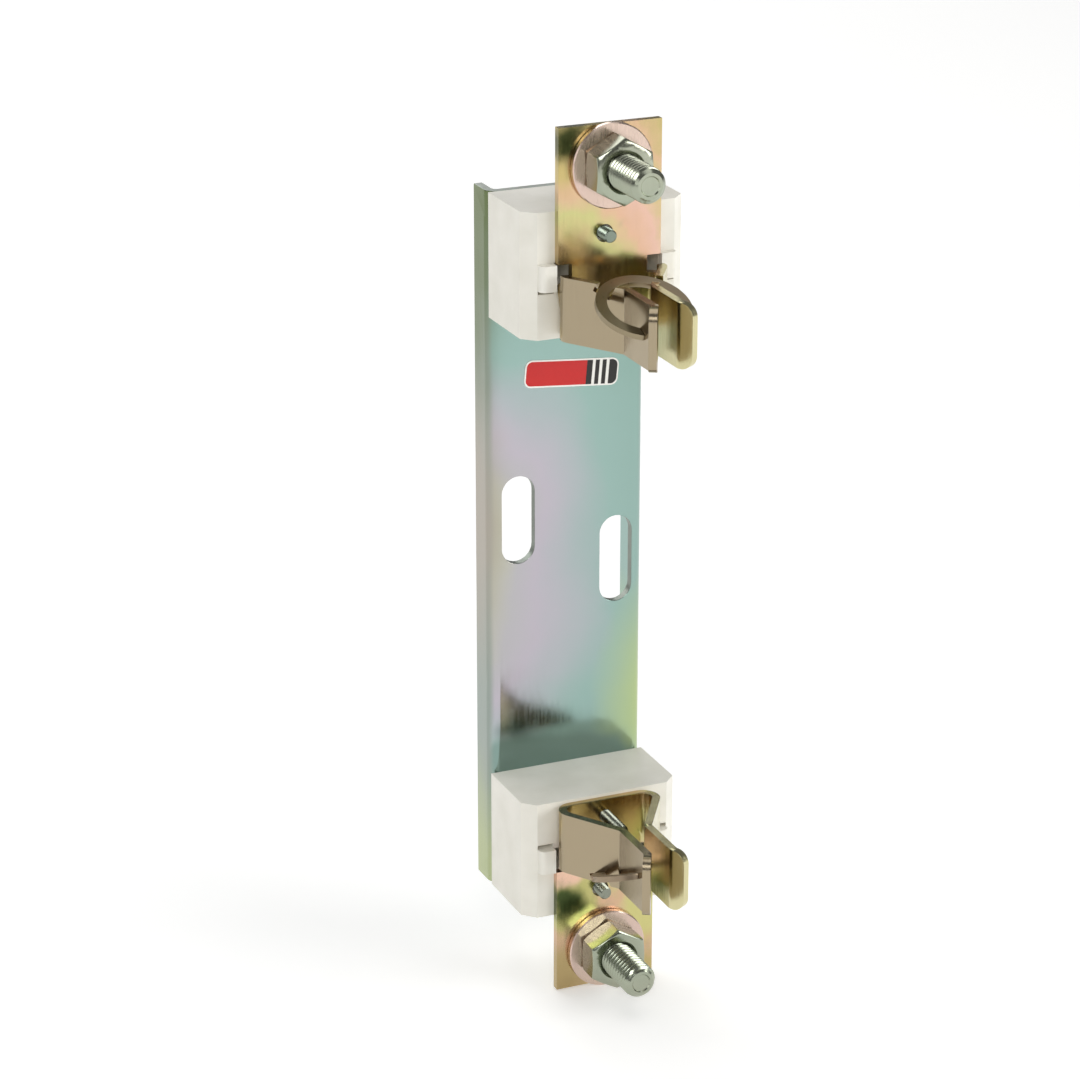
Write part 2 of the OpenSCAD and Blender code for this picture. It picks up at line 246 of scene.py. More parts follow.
def add(tree, kind, inputs=None, stops=None, **settings):
    """Adds a node, sets it, fills its sockets with values or links, and returns it."""
    made = tree.nodes.new(kind)
    for name, value in settings.items():
        setattr(made, name, value)
    for name, value in (inputs or {}).items():
        if isinstance(value, bpy.types.NodeSocket):
            tree.links.new(value, made.inputs[name])
        else:
            made.inputs[name].default_value = value
    if stops:
        elements = made.color_ramp.elements
        while len(elements) < len(stops):
            elements.new(0.5)
        for element, (position, colour) in zip(elements, stops):
            element.position = position
            element.color = linear(colour) if isinstance(colour, str) else [colour] * 3 + [1.0]
    return made


def new_material(name, metallic, roughness):
    """A material with its shader and the piece's own coordinates."""
    made = bpy.data.materials.new(name)
    made.use_nodes = True
    tree = made.node_tree
    shader = tree.nodes["Principled BSDF"]
    shader.inputs["Metallic"].default_value = metallic
    shader.inputs["Roughness"].default_value = roughness
    place = add(tree, "ShaderNodeTexCoord").outputs["Object"]
    return made, tree, shader, place


# Where a film changes over less than this, in millimetres, it changes in a curve
SOFT_RIM = 15


def spread(tree, place, wobble, centre, stretch, low, high):
    """From 0 to 1 as the distance from a spot, in millimetres and unsteady by a noise, goes from
    low to high."""
    spot = [-c * MM for c in centre]
    offset = add(tree, "ShaderNodeVectorMath", {0: place, 1: spot}, operation="ADD")
    uneven = add(tree, "ShaderNodeVectorMath", {0: offset.outputs[0], 1: wobble}, operation="ADD")
    scaled = add(
        tree, "ShaderNodeVectorMath", {0: uneven.outputs[0], 1: stretch}, operation="MULTIPLY"
    )
    away = add(tree, "ShaderNodeVectorMath", {0: scaled.outputs[0]}, operation="LENGTH")
    return add(
        tree,
        "ShaderNodeMapRange",
        {"Value": away.outputs["Value"], "From Min": low * MM, "From Max": high * MM},
        interpolation_type="SMOOTHERSTEP" if high - low < SOFT_RIM else "LINEAR",
    ).outputs[0]


def passivated_zinc(name, colours, drain, patch, marks=(), haze=(0.2, 0.34), grain=0.02):
    """Zinc plated steel, chromate passivated. The clear film gets thicker away from where the bath
    drained, and its interference colour drifts with it. Drain is that place, how distance from it
    counts along each axis, and the distances of the first and the last colour. Patch is the width
    and the reach of the film's wandering. Marks are places where the colour differs, some by the
    film and some by painted reflection, shade and light: place, how distance counts, full and
    vanished distance, share of the wandering, colour."""
    made, tree, shader, place = new_material(name, metallic=1.0, roughness=0.28)
    patch_mm, wobble_mm = patch
    # Lines of rolling, drawn out along Z by this share, and clouds of haze
    rolling_mm, rolling_share = 0.5, 0.06
    cloud_mm = 5.0
    drift = add(
        tree,
        "ShaderNodeTexNoise",
        {"Vector": place, "Scale": per_mm(patch_mm), "Detail": 3.0, "Roughness": 0.5},
    )
    centred = add(
        tree, "ShaderNodeVectorMath", {0: drift.outputs["Color"], 1: (-0.5,) * 3}, operation="ADD"
    )
    wobble = add(
        tree,
        "ShaderNodeVectorMath",
        {0: centred.outputs[0], 1: (wobble_mm * MM * 2,) * 3},
        operation="MULTIPLY",
    ).outputs[0]
    film = spread(tree, place, wobble, *drain)
    colour = add(tree, "ShaderNodeValToRGB", {"Fac": film}, colours).outputs["Color"]
    for centre, stretch, inner, outer, share, hex_colour in marks:
        rim = add(
            tree, "ShaderNodeVectorMath", {0: wobble, 1: (share,) * 3}, operation="MULTIPLY"
        ).outputs[0]
        outside = spread(tree, place, rim, centre, stretch, inner, outer)
        colour = add(
            tree,
            "ShaderNodeMixRGB",
            {"Fac": outside, "Color1": linear(hex_colour), "Color2": colour},
        ).outputs["Color"]
    tree.links.new(colour, shader.inputs["Base Color"])
    lines = add(tree, "ShaderNodeMapping", {"Vector": place, "Scale": (1.0, 1.0, rolling_share)})
    rolled = add(
        tree,
        "ShaderNodeTexNoise",
        {"Vector": lines.outputs[0], "Scale": per_mm(rolling_mm), "Detail": 3.0},
    )
    cloud = add(
        tree, "ShaderNodeTexNoise", {"Vector": place, "Scale": per_mm(cloud_mm), "Detail": 3.0}
    )
    both = add(
        tree,
        "ShaderNodeMath",
        {0: rolled.outputs["Fac"], 1: cloud.outputs["Fac"]},
        operation="MULTIPLY",
    )
    rough = add(
        tree,
        "ShaderNodeMapRange",
        {
            "Value": both.outputs[0],
            "From Min": 0.1,
            "From Max": 0.45,
            "To Min": haze[0],
            "To Max": haze[1],
        },
    )
    tree.links.new(rough.outputs[0], shader.inputs["Roughness"])
    bump = add(
        tree,
        "ShaderNodeBump",
        {"Height": rolled.outputs["Fac"], "Strength": grain * 5, "Distance": grain * MM},
    )
    tree.links.new(bump.outputs[0], shader.inputs["Normal"])
    return made


def moulded_block():
    """Glass filled thermoset, compression moulded: off-white, a low gloss skin with faint flow
    marks."""
    made, tree, shader, place = new_material("moulded_thermoset", metallic=0.0, roughness=0.42)
    flow_mm, skin_mm, skin_deep_mm = 9.0, 0.6, 0.03
    flow = add(
        tree, "ShaderNodeTexNoise", {"Vector": place, "Scale": per_mm(flow_mm), "Detail": 4.0}
    )
    colour = add(
        tree,
        "ShaderNodeValToRGB",
        {"Fac": flow.outputs["Fac"]},
        [(0.3, "#e4e1d5"), (0.7, "#efece2")],
    )
    tree.links.new(colour.outputs["Color"], shader.inputs["Base Color"])
    skin = add(
        tree, "ShaderNodeTexNoise", {"Vector": place, "Scale": per_mm(skin_mm), "Detail": 4.0}
    )
    rough = add(
        tree,
        "ShaderNodeMapRange",
        {
            "Value": skin.outputs["Fac"],
            "From Min": 0.3,
            "From Max": 0.7,
            "To Min": 0.34,
            "To Max": 0.5,
        },
    )
    tree.links.new(rough.outputs[0], shader.inputs["Roughness"])
    bump = add(
        tree,
        "ShaderNodeBump",
        {"Height": skin.outputs["Fac"], "Strength": 0.15, "Distance": skin_deep_mm * MM},
    )
    tree.links.new(bump.outputs[0], shader.inputs["Normal"])
    shader.inputs["IOR"].default_value = 1.52
    return made


def printed_vinyl(name, hex_colour):
    """Screen printed vinyl film: smooth, evenly inked, with a soft sheen."""
    made, tree, shader, place = new_material(name, metallic=0.0, roughness=0.35)
    ink_mm, thin_ink = 0.8, 0.9
    ink = add(
        tree, "ShaderNodeTexNoise", {"Vector": place, "Scale": per_mm(ink_mm), "Detail": 2.0}
    )
    colour = add(
        tree,
        "ShaderNodeMixRGB",
        {
            "Fac": ink.outputs["Fac"],
            "Color1": linear(hex_colour),
            "Color2": [c * thin_ink for c in linear(hex_colour)],
        },
    )
    tree.links.new(colour.outputs["Color"], shader.inputs["Base Color"])
    return made


# How distance from a place counts: the same every way, by depth alone, or as seen from the front
EVEN = (1, 1, 1)
ACROSS_DEPTH = (0, 1, 0)
FACE_ON = (1, 0, 1)

# Blue passivated zinc: a cool sheen that drifts from lilac beside the left slot to blue-green, with
# faint streaks of rolling down its length
CHANNEL_ZINC = passivated_zinc(
    "blue_passivated_zinc",
    [
        (0.0, "#bfc69a"),
        (0.1, "#bdc09f"),
        (0.3, "#b3b1b4"),
        (0.4, "#b6b0b9"),
        (0.55, "#a7b0b2"),
        (0.7, "#93afa8"),
        (1.0, "#8aa79e"),
    ],
    ((-45, 0, -4), (1, 0, 0.95), 17, 76),
    (34, 13),
    [
        # Yellow-green down the right edge, towards the lower block
        ((26, -8, -44), (1, 0, 0.6), 6, 22, 0.5, "#b3c284"),
        # Painted reflection of the lower block: a dull band over it, and above that a painted dark
        # reflection and shadow of the lower contact
        ((-10, -9, -58), (0.18, 4, 1), 8.5, 12.5, 0.3, "#829a93"),
        ((-9, -9, -44.5), (0.4, 3, 1), 0.5, 6.5, 0.35, "#475c52"),
        # Left flange, darkened as a painted dark reflection: grey all along, warm half way up,
        # green at the foot and olive at the top
        ((-30, 0, 0), (1, 0, 0), 10.9, 12.4, 0.05, "#949e97"),
        ((-25, 0, 5), (1, 0.8, 0.3), 5, 16, 0.4, "#a8a196"),
        ((-25, 0, -84), (1, 0.8, 0.35), 5, 16, 0.4, "#b0b98c"),
        ((-25, 0, 92), (1, 0.8, 0.2), 6, 17, 0.4, "#6a7651"),
    ],
    haze=(0.11, 0.22),
)
# Yellow passivated zinc: peach, straw and olive clouds on bright rolled strip, with painted dark
# reflections on both plates, painted shade on the legs and painted light on the right leg
STRIP_ZINC = passivated_zinc(
    "yellow_passivated_strip",
    [
        (0.0, "#b5a070"),
        (0.16, "#cdb488"),
        (0.3, "#c3c084"),
        (0.44, "#d4ae92"),
        (0.6, "#d9b4a2"),
        (0.76, "#c8b685"),
        (0.9, "#cfae8c"),
        (1.0, "#bdac78"),
    ],
    ((-16, 0, 0), (2.2, 0, 1), 70, 116),
    (8, 7),
    [
        # Lower plate: straw at the foot, yellow-green right of the bolt and round the painted dark
        # reflection, peach in the corner under the lug
        ((-12, 0, -98), FACE_ON, 3, 11, 0.4, "#b8a274"),
        ((11, 0, -84), FACE_ON, 4, 10, 0.6, "#cbc585"),
        ((-9, 0, -80.5), FACE_ON, 5, 11.5, 0.7, "#bdb878"),
        ((-10, 0, -70), FACE_ON, 4, 8.5, 0.5, "#e6c0a8"),
        # Upper plate: straw round the painted dark reflection in the top left corner
        ((-10, 0, 100), FACE_ON, 7, 14, 0.7, "#c3b076"),
        # Painted dark reflections on both plates
        ((-10, 0, 100), FACE_ON, 0.5, 7.5, 1, "#4d5232"),
        ((-9, 0, -80.5), FACE_ON, 1.0, 7.5, 1, "#4b5834"),
        # Jaw legs: taupe forward of the web as painted shade, and pale yellow on the right leg as
        # painted light
        ((0, -63, 0), ACROSS_DEPTH, 29.5, 32, 0.5, "#a5977e"),
        ((14, -62, 0), (1, 0.45, 0), 12.5, 14.5, 0.5, "#cec79b"),
    ],
    haze=(0.15, 0.27),
)
# Plated spring steel: a dull brown-grey with hardly any gloss
RING_STEEL = passivated_zinc(
    "plated_spring_steel",
    [(0.0, "#8f836a"), (0.5, "#988b72"), (1.0, "#9b8a74")],
    ((-20, -50, 60), EVEN, 5, 40),
    (5, 6),
    haze=(0.26, 0.4),
)
# Bright zinc on bolts and nuts: a clean grey-green shine that picks out the thread
FASTENER_ZINC = passivated_zinc(
    "bright_zinc",
    [(0.0, "#9ca592"), (0.5, "#a3a997"), (1.0, "#aaa896")],
    ((-12, -35, 0), EVEN, 80, 108),
    (4, 5),
    haze=(0.16, 0.28),
)
# Clear passivated zinc on the small screws: the same grey-green and softer, darkened as painted
# shade and dark reflection
SCREW_ZINC_PAINTED_DARK = passivated_zinc(
    "clear_zinc_painted_dark",
    [(0.0, "#7d887c"), (0.5, "#8a9387"), (1.0, "#8d9184")],
    ((-12, -35, 70), EVEN, 2, 60),
    (3, 5),
    haze=(0.2, 0.34),
)
# Washers: a pale pink film on smooth pressed steel
WASHER_ZINC = passivated_zinc(
    "pink_passivated_washer",
    [(0.0, "#d3bdac"), (0.4, "#d4bbb0"), (0.8, "#d6c0b2"), (1.0, "#d1c0a8")],
    ((-12, -32, 0), EVEN, 80, 108),
    (5, 5),
)
# The channel's cut edges: plated over the tear of the punch, so grey and matt
PUNCHED_EDGE = passivated_zinc(
    "punched_edge_zinc",
    [(0.0, "#858c84"), (0.5, "#8d948c"), (1.0, "#969c94")],
    ((0, 0, 0), EVEN, 0, 100),
    (3, 10),
    haze=(0.36, 0.52),
)
# Off-white thermoset: soft, even and slightly mottled
BLOCK_SKIN = moulded_block()
# Label inks: a white edge, a strong red field and a black end
LABEL_EDGE = printed_vinyl("vinyl_white", "#eceae4")
LABEL_RED = printed_vinyl("vinyl_red", "#c21411")
LABEL_BLACK = printed_vinyl("vinyl_black", "#16110f")


# Making pieces

# Faces that meet at more than this angle meet at an edge
SHARP = math.radians(40)
# The same for the edges of the insulators, which are broken by weight
BROKEN = math.radians(30)
# Faces that meet at less than this angle are one
FLAT = math.radians(0.5)


def mesh_of(bm, name):
    """A new mesh with a bmesh's content."""
    mesh = bpy.data.meshes.new(name)
    bm.to_mesh(mesh)
    return mesh


def carved(bm, tool, operation):
    """One shape cut, joined or kept in common with another, both given and returned as bmesh."""
    work = bpy.data.objects.new("work", mesh_of(bm, "work"))
    other = bpy.data.objects.new("tool", mesh_of(tool, "tool"))
    for o in (work, other):
        bpy.context.scene.collection.objects.link(o)
    cut = work.modifiers.new("cut", "BOOLEAN")
    cut.operation = operation
    cut.solver = "EXACT"
    cut.object = other
    bpy.context.view_layer.update()
    evaluated = work.evaluated_get(bpy.context.evaluated_depsgraph_get())
    done = bpy.data.meshes.new_from_object(evaluated)
    result = bmesh.new()
    result.from_mesh(done)
    bm.free()
    tool.free()
    for o in (work, other):
        bpy.data.objects.remove(o)
    bmesh.ops.remove_doubles(result, verts=result.verts, dist=SAME_POINT)
    return result


def block(size, centre=(0, 0, 0)):
    """A plain block."""
    bm = bmesh.new()
    bmesh.ops.create_cube(bm, size=1)
    bmesh.ops.scale(bm, vec=size, verts=bm.verts)
    bmesh.ops.translate(bm, vec=centre, verts=bm.verts)
    return bm


def turn_by(bm, angle, axis):
    """Turns a shape about an axis through the origin."""
    bmesh.ops.rotate(bm, cent=(0, 0, 0), matrix=Matrix.Rotation(angle, 3, axis), verts=bm.verts)


def finish_piece(
    bm, node, material, slot, edge, steps=2, sheet_t=0.0, extra=(), rim=0, weighted=False
):
    """Turns a bmesh in millimetres into the piece that stands for a CAD node. Edge is the width of
    its broken edges, rim the number of the material on a sheet's cut edges, and a weighted piece
    breaks each edge by its own weight."""
    bmesh.ops.scale(bm, vec=(MM, MM, MM), verts=bm.verts)
    for face in bm.faces:
        face.smooth = True
    if not edge:
        for e in bm.edges:
            e.smooth = e.calc_face_angle(0) < SHARP
    piece = bpy.data.objects.new("shown_" + node, mesh_of(bm, node))
    bm.free()
    bpy.context.scene.collection.objects.link(piece)
    for m in (material, *extra):
        piece.data.materials.append(m)
    if sheet_t:
        wall = piece.modifiers.new("wall", "SOLIDIFY")
        wall.thickness = sheet_t * MM
        wall.offset = 0
        wall.use_even_offset = True
        wall.material_offset_rim = rim
    if edge:
        broken = piece.modifiers.new("broken_edges", "BEVEL")
        broken.width = edge * MM
        broken.segments = steps
        broken.limit_method = "WEIGHT" if weighted else "ANGLE"
        broken.angle_limit = SHARP
        broken.harden_normals = False
    # The large faces keep their own normals, so that rounded edges don't shade them
    soft = piece.modifiers.new("normals", "WEIGHTED_NORMAL")
    soft.keep_sharp = True
    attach(piece, frame["nodes"][node]["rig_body"])
    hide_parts(node)


def pair(make, part, material, slot, edge, **options):
    """The upper and the lower piece of one kind; make takes 1 for the upper and -1 for the
    lower."""
    for name, side in (("upper", 1), ("lower", -1)):
        bm = make(side)
        if side < 0:
            bmesh.ops.rotate(bm, cent=(0, 0, 0), matrix=HALF_TURN, verts=bm.verts)
        finish_piece(bm, f"{name}_{part}", material, slot, edge, **options)


# Bent sheet

# Points of a cut blank that are nearer than this become one
SLIVER = 0.02


def centre_line(corners, radii):
    """A strip's centre line from corner points and a radius for each corner between the ends: runs
    of (start length, length, point, heading, turn, radius)."""
    runs = []
    along = 0.0
    here = Vector(corners[0])
    for i in range(1, len(corners)):
        corner = Vector(corners[i])
        heading = (corner - here).normalized()
        turn = trim = radius = 0.0
        if i + 1 < len(corners):
            radius = radii[i - 1]
            after = (Vector(corners[i + 1]) - corner).normalized()
            turn = math.atan2(heading.x * after.y - heading.y * after.x, heading.dot(after))
            trim = radius * math.tan(abs(turn) / 2)
        length = (corner - here).length - trim
        runs.append((along, length, here, heading, 0.0, 0.0))
        along += length
        if turn:
            runs.append((along, radius * abs(turn), corner - heading * trim, heading, turn, radius))
            along += radius * abs(turn)
            here = corner + after * trim
    return runs


def bent_point(runs, station):
    """Where a station along the flat blank ends up on the bent centre line."""
    run = next((r for r in runs if station <= r[0] + r[1]), runs[-1])
    start, _, point, heading, turn, radius = run
    ahead = station - start
    if not turn:
        return point + heading * ahead
    side = math.copysign(1, turn)
    inward = Vector((-heading.y, heading.x)) * side
    angle = ahead / radius
    return point + heading * (radius * math.sin(angle)) + inward * (radius * (1 - math.cos(angle)))


def station_at(runs, index, depth):
    """Station where a straight run reaches a depth."""
    start, _, point, heading, _, _ = runs[index]
    return start + (depth - point.y) / heading.y


def bent_sheet(loops, runs, stays_flat=None, steps=10):
    """A flat blank with holes, cut along its bend lines and folded onto the centre line, but not
    where stays_flat says so of a place on the blank."""
    bm = bmesh.new()
    for loop in loops:
        corners = [bm.verts.new((s, 0, z)) for s, z in loop]
        for a, b in zip(corners, corners[1:] + corners[:1]):
            bm.edges.new((a, b))
    bmesh.ops.triangle_fill(
        bm, use_beauty=True, use_dissolve=False, edges=bm.edges[:], normal=FORWARD
    )
    for start, length, _, _, turn, _ in runs:
        if not turn:
            continue
        for k in range(steps + 1):
            for side in (-1, 1):
                bmesh.ops.bisect_plane(
                    bm,
                    geom=bm.verts[:] + bm.edges[:] + bm.faces[:],
                    dist=ON_PLANE,
                    plane_co=(side * (start + length * k / steps), 0, 0),
                    plane_no=(1, 0, 0),
                )
    # Slivers where a bend line meets a round corner would fold into spikes
    bmesh.ops.remove_doubles(bm, verts=bm.verts, dist=SLIVER)
    for v in bm.verts:
        station = v.co.x
        if stays_flat and stays_flat(abs(station), v.co.z):
            v.co.y = runs[0][2].y
            continue
        spot = bent_point(runs, abs(station))
        v.co.x = math.copysign(spot.x, station)
        v.co.y = spot.y
    bmesh.ops.dissolve_limit(
        bm, angle_limit=FLAT, verts=bm.verts, edges=bm.edges, use_dissolve_boundaries=False
    )
    bmesh.ops.recalc_face_normals(bm, faces=bm.faces)
    return bm


def channel():
    """Base channel: a flat blank with two slots and four screw holes, its long edges folded
    back."""
    half_w = CHANNEL_HIGH.x - CHANNEL_T / 2
    depth = CHANNEL_FRONT + CHANNEL_T / 2
    runs = centre_line([(0, depth), (half_w, depth), (half_w, CHANNEL_HIGH.y)], [CHANNEL_BEND_R])
    half = runs[-1][0] + runs[-1][1]
    low, high = CHANNEL_LOW.z, CHANNEL_HIGH.z
    loops = [[(-half, low), (half, low), (half, high), (-half, high)]]
    straight = (SLOT_L - SLOT_W) / 2
    for side in (-1, 1):
        x, z = side * SLOT_X, -side * SLOT_Z
        top = arc((x, z + straight), SLOT_W / 2, 0, 180, steps=24)
        bottom = arc((x, z - straight), SLOT_W / 2, 180, 360, steps=24)
        loops.append(top + bottom)
        loops.append(circle((0, side * CONTACT_SCREW_Z), SCREW_R + SCREW_CLEARANCE))
        loops.append(circle((BLOCK_SCREW_X, side * BLOCK_SCREW_Z), SCREW_R + SCREW_CLEARANCE))
    return bent_sheet(loops, runs)


def ring_crossing(radius, face):
    """How far behind the ring's centre, in its own plane, a circle of it crosses a leg's face."""
    a = GRIP_X + face + LEG_SLOPE * (PINCH_OUT - RING_OUT)
    b = LEG_SLOPE * math.cos(RING_TILT)
    q = 1 + b * b
    return (-a * b + math.sqrt(a * a * b * b - q * (a * a - radius * radius))) / q


def contact(side):
    """Lyre contact: terminal plate and two wings that fold forward into the jaw legs. The blank is
    its right half and the mirror of it, with a notch for the spring ring in each wing."""
    corners = [
        (0, WEB + STRIP_T / 2),
        (GRIP_X + LEG_SLOPE * (PINCH_OUT + STRIP_T / 2), WEB + STRIP_T / 2),
        (GRIP_X, WEB - PINCH_OUT),
        (GRIP_X, WEB - GRIP_OUT),
        (TIP_X, WEB - FLARE_OUT),
    ]
    runs = centre_line(corners, [REAR_R, FOLD_R, FOLD_R])
    tip = runs[-1][0] + runs[-1][1]
    relief = NECK_HALF + RELIEF_REACH
    along = Vector((0, math.cos(RING_TILT), math.sin(RING_TILT)))
    up = Vector((0, -math.sin(RING_TILT), math.cos(RING_TILT)))
    under = RING_CENTRE + up * -(RING_T + NOTCH_GAP)
    near = under + along * (ring_crossing(RING_R - RING_W, LEG_FACE) - NOTCH_GAP)
    far = under + along * (ring_crossing(RING_R, -LEG_FACE) + NOTCH_GAP)
    lips = [p + up * (LEG_HIGH - p.z) / up.z for p in (far, near)]
    notch = [(station_at(runs, 2, p.y), p.z) for p in (lips[0], far, near, lips[1])]
    right = [(STRIP_HALF, CONTACT_HIGH.z), (STRIP_HALF, RELIEF_HIGH), (NECK_HALF, RELIEF_HIGH)]
    right += [(NECK_HALF, RELIEF_LOW), (relief, RELIEF_LOW), (relief, LEG_HIGH)]
    right += notch
    right += arc((tip - TIP_R, LEG_HIGH - TIP_R), TIP_R, 90, 0, steps=10)
    right += arc((tip - TIP_R, LEG_LOW + TIP_R), TIP_R, 0, -90, steps=10)
    outline = right + [(-s, z) for s, z in reversed(right)]
    holes = [
        circle((0, BOLT_Z), BOLT_HOLE_R, steps=48),
        circle((side * BLOCK_SCREW_X, BLOCK_SCREW_Z), BLOCK_SCREW_HOLE_R, steps=40),
        circle((0, CONTACT_SCREW_Z), SCREW_R + SCREW_FIT),
    ]

    def on_plate(station, z):
        beside_neck = z > RELIEF_LOW + SAME_PLACE and station < NECK_HALF + SAME_PLACE
        return z > RELIEF_HIGH - SAME_PLACE or beside_neck

    return bent_sheet([outline, *holes], runs, stays_flat=on_plate)


# Turned pieces


def turned(profile, place, direction, steps):
    """A full turn of (radius, height) points about an axis through place along direction; an
    outline that begins off the axis is closed."""
    bm = bmesh.new()
    verts = [bm.verts.new((r, 0, h)) for r, h in profile]
    edges = [bm.edges.new(p) for p in zip(verts, verts[1:])]
    if profile[0][0] > 0:
        edges.append(bm.edges.new((verts[-1], verts[0])))
    bmesh.ops.spin(
        bm,
        geom=verts + edges,
        cent=(0, 0, 0),
        axis=(0, 0, 1),
        angle=2 * math.pi,
        steps=steps,
        use_merge=True,
    )
    bmesh.ops.remove_doubles(bm, verts=bm.verts, dist=SAME_POINT)
    bmesh.ops.recalc_face_normals(bm, faces=bm.faces)
    stand(bm, place, direction)
    return bm


def upright(profile, steps):
    """A full turn about Z for a cut. It is laid along Y and stood up again: the rounding that this
    leaves keeps its ends out of the exact plane of the ends it cuts, where the cut would leave a
    fan of faces that shade unevenly."""
    bm = turned(profile, (0, 0, 0), BACKWARD, steps)
    turn_by(bm, QUARTER, "X")
    return bm


def stand(bm, place, direction):
    """Moves a shape made along Z from the origin to a place and a direction along Y."""
    turn_by(bm, QUARTER if direction.y < 0 else -QUARTER, "X")
    bmesh.ops.translate(bm, vec=place, verts=bm.verts)


# Half a thread, from the middle of the root to the middle of the crest: (share of the pitch, share
# of the depth). A rolled thread is rounded at root and crest, a cut one is not
ROLLED_THREAD = (
    (0, 0),
    (0.08, 0),
    (0.13, 0.06),
    (0.17, 0.18),
    (0.36, 0.82),
    (0.4, 0.94),
    (0.45, 1),
)
CUT_THREAD = ((0, 0), (0.12, 0), (0.44, 1))
# Depth of a metric thread on a rod, as a share of its pitch, and how far its crest stays inside the
# rod's radius
THREAD_DEPTH = 0.6134
CREST_PLAY = 0.03
TURN_STEPS = 32


def threaded_rod(radius, pitch, length, end_chamfer, place, direction, half_thread=CUT_THREAD):
    """A right-handed rod: one pitch of the thread's outline wound round the axis, cut to length and
    turned to a chamfer at its end."""
    root = radius - THREAD_DEPTH * pitch
    crest = radius - CREST_PLAY
    shares = list(half_thread) + [(1 - h, d) for h, d in reversed(half_thread)]
    profile = [(pitch * h, root + (crest - root) * d) for h, d in shares]
    turns = math.ceil(length / pitch) + 2
    bm = bmesh.new()
    verts = [bm.verts.new((r, 0, h - pitch)) for h, r in profile]
    edges = [bm.edges.new(p) for p in zip(verts, verts[1:])]
    bmesh.ops.spin(
        bm,
        geom=verts + edges,
        cent=(0, 0, 0),
        axis=(0, 0, 1),
        dvec=(0, 0, pitch / TURN_STEPS),
        angle=2 * math.pi * turns,
        steps=TURN_STEPS * turns,
    )
    bmesh.ops.remove_doubles(bm, verts=bm.verts, dist=2 * SAME_POINT)
    for height, normal in ((0.0, -1), (length, 1)):
        bmesh.ops.bisect_plane(
            bm,
            geom=bm.verts[:] + bm.edges[:] + bm.faces[:],
            dist=ON_PLANE,
            plane_co=(0, 0, height),
            plane_no=(0, 0, normal),
            clear_outer=True,
        )
    bmesh.ops.holes_fill(bm, edges=[e for e in bm.edges if e.is_boundary], sides=0)
    bmesh.ops.recalc_face_normals(bm, faces=bm.faces)
    clear = radius + 1
    envelope = [
        (0, -1),
        (clear, -1),
        (clear, length - end_chamfer - 1),
        (radius - end_chamfer, length),
        (0, length),
    ]
    bm = carved(bm, upright(envelope, steps=64), "INTERSECT")
    stand(bm, place, direction)
    return bm


# Radius of the flat end of a hexagon, as a share of half its width across flats
HEX_RIM = 0.95
HEX_CHAMFER = math.radians(30)


def hexagon(height):
    """A hexagon chamfered at both ends, corners up and down, rising from the origin along Z."""
    corner_r = HEX_AF / math.sqrt(3)
    rim = HEX_AF / 2 * HEX_RIM
    far = corner_r + 1
    drop = (far - rim) * math.tan(HEX_CHAMFER)
    bm = bmesh.new()
    bmesh.ops.create_cone(
        bm,
        cap_ends=True,
        segments=6,
        radius1=corner_r,
        radius2=corner_r,
        depth=height,
        matrix=Matrix.Translation((0, 0, height / 2)),
    )
    envelope = [(0, 0), (rim, 0), (far, drop), (far, height - drop), (rim, height), (0, height)]
    return carved(bm, upright(envelope, steps=128), "INTERSECT")


def nut(_):
    """Hexagon nut with countersunk ends; its bore hides the thread of the bolt."""
    bore = BOLT_R + THREAD_PLAY
    wide = bore + NUT_SINK + 1
    drill = [
        (0, -1),
        (wide, -1),
        (bore, NUT_SINK),
        (bore, NUT_H - NUT_SINK),
        (wide, NUT_H + 1),
        (0, NUT_H + 1),
    ]
    bm = carved(hexagon(NUT_H), upright(drill, steps=96), "DIFFERENCE")
    stand(bm, (0, WEB - WASHER_T, BOLT_Z), FORWARD)
    return bm


def washer(_):
    """Flat washer with both outer edges eased."""
    flat_r = WASHER_R - WASHER_EDGE
    profile = [
        (WASHER_HOLE_R, 0),
        (flat_r, 0),
        (WASHER_R, WASHER_EDGE),
        (WASHER_R, WASHER_T - WASHER_EDGE),
        (flat_r, WASHER_T),
        (WASHER_HOLE_R, WASHER_T),
    ]
    return turned(profile, (0, WEB, BOLT_Z), FORWARD, steps=128)


def bolt(_):
    """Hexagon bolt from behind the plate, its end chamfered and slightly dished."""
    head = hexagon(BOLT_HEAD_H)
    stand(head, (0, SEAT, BOLT_Z), BACKWARD)
    # The rod runs a little into the head, and the dish's cutter a little out of the rod
    overlap = 0.5
    beyond = 0.02
    rod = threaded_rod(
        BOLT_R,
        BOLT_PITCH,
        SEAT - BOLT_END + overlap,
        BOLT_POINT,
        (0, SEAT + overlap, BOLT_Z),
        FORWARD,
        ROLLED_THREAD,
    )
    dish = [
        (0, -DISH_DEEP),
        (DISH_BOTTOM_R, -DISH_DEEP),
        (DISH_R, beyond),
        (DISH_R, 1),
        (0, 1),
    ]
    cutter = turned(dish, (0, BOLT_END, BOLT_Z), FORWARD, steps=48)
    return carved(head, carved(rod, cutter, "DIFFERENCE"), "UNION")


def spring_ring(_):
    """Flat ring laid round the legs at a tilt, cut open where it would cross the blade's way."""
    inner = RING_R - RING_W
    section = [(inner, -RING_T), (RING_R, -RING_T), (RING_R, 0), (inner, 0)]
    bm = turned(section, (0, 0, 0), BACKWARD, steps=128)
    turn_by(bm, QUARTER + RING_TILT, "X")
    bmesh.ops.translate(bm, vec=RING_CENTRE, verts=bm.verts)
    gap = block((2 * RING_END_X, 2 * RING_R, 4 * RING_R), RING_CENTRE + FORWARD * RING_R)
    return carved(bm, gap, "DIFFERENCE")


# Insulators


def split_at(bm, place, normal):
    """Cuts the faces along a plane and keeps both sides."""
    bmesh.ops.bisect_plane(
        bm,
        geom=bm.verts[:] + bm.edges[:] + bm.faces[:],
        dist=ON_PLANE,
        plane_co=place,
        plane_no=normal,
    )


